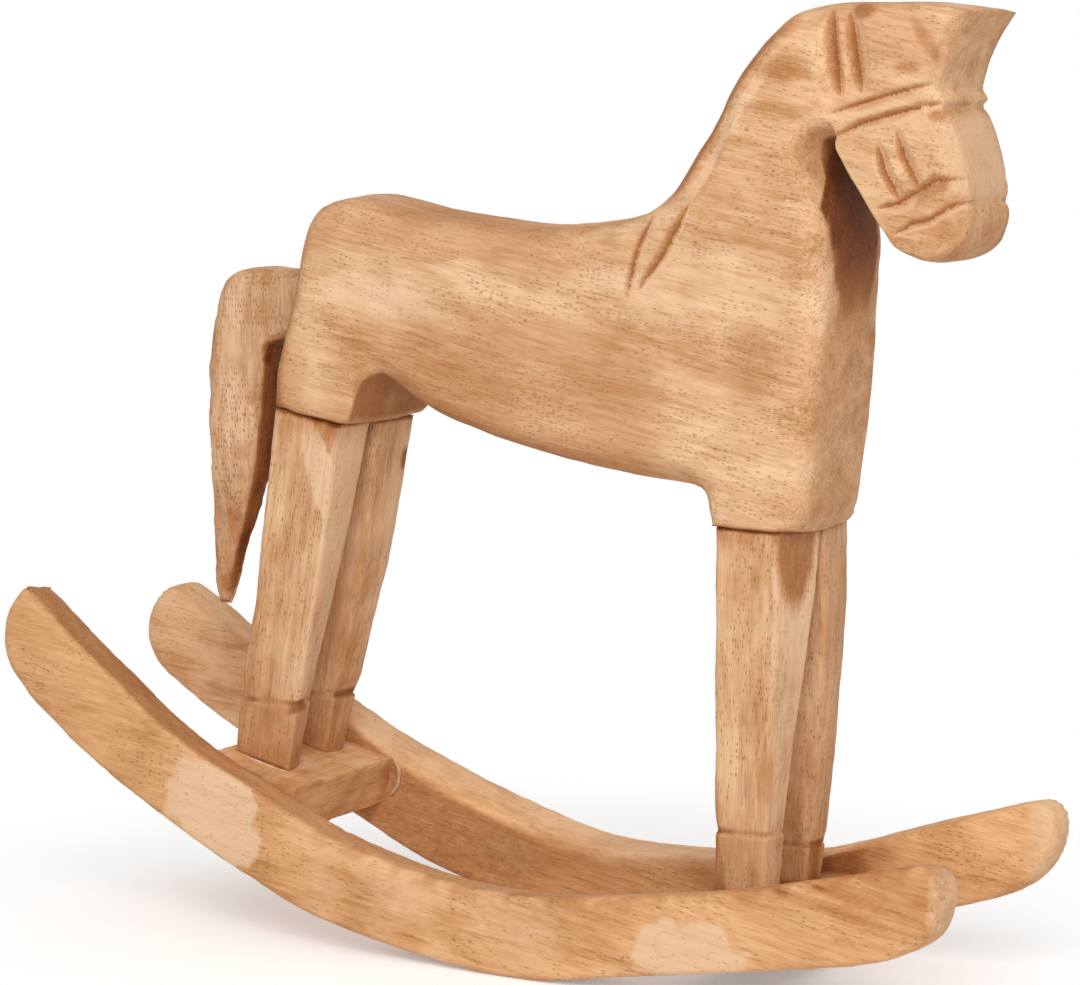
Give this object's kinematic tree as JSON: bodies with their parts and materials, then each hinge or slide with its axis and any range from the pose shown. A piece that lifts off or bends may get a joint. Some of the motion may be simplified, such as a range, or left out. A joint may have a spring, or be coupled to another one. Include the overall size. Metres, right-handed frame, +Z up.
{
  "type": "rocking horse",
  "caption": "Small hand-carved wooden rocking horse: plank body and head on tapered legs, with crossbars between two curved rockers that let it rock on a table or floor.",
  "frame": {"origin": "on the floor, at the middle of the object's length and width", "axes": "+X the way the horse faces, +Z up, +Y to the horse's left; at rest on its rockers"},
  "size_m": [0.394, 0.1064, 0.3417],
  "materials": {
    "body_wood": "raw carved wood with open pores, rubbed smooth",
    "tail_wood": "raw carved wood, darker, with open pores",
    "leg_wood": "raw knife-cut wood with straight grain",
    "rocker_wood": "raw sawn and gouged wood with pale sanded patches",
    "bar_wood": "raw sawn wood",
    "dowel_wood": "turned hardwood peg",
    "wood_filler": "sanded wood filler",
    "screw_steel": "plain steel"
  },
  "bodies": {
    "root": {"body": "body_wood", "crossbar_front": "bar_wood", "crossbar_rear": "bar_wood", "filler_plug_front_left_a": "wood_filler", "filler_plug_front_left_b": "wood_filler", "filler_plug_front_right_a": "wood_filler", "filler_plug_front_right_b": "wood_filler", "filler_plug_rear_left_a": "wood_filler", "filler_plug_rear_left_b": "wood_filler", "filler_plug_rear_right_a": "wood_filler", "filler_plug_rear_right_b": "wood_filler", "foot_dowel_front_left": "dowel_wood", "foot_dowel_front_right": "dowel_wood", "foot_dowel_rear_left": "dowel_wood", "foot_dowel_rear_right": "dowel_wood", "leg_dowel_front_left": "dowel_wood", "leg_dowel_front_right": "dowel_wood", "leg_dowel_rear_left": "dowel_wood", "leg_dowel_rear_right": "dowel_wood", "leg_front_left": "leg_wood", "leg_front_right": "leg_wood", "leg_rear_left": "leg_wood", "leg_rear_right": "leg_wood", "rocker_left": "rocker_wood", "rocker_right": "rocker_wood", "screw_front_left_a": "screw_steel", "screw_front_left_b": "screw_steel", "screw_front_right_a": "screw_steel", "screw_front_right_b": "screw_steel", "screw_rear_left_a": "screw_steel", "screw_rear_left_b": "screw_steel", "screw_rear_right_a": "screw_steel", "screw_rear_right_b": "screw_steel", "tail": "tail_wood", "tail_dowel": "dowel_wood"}
  },
  "joints": []
}
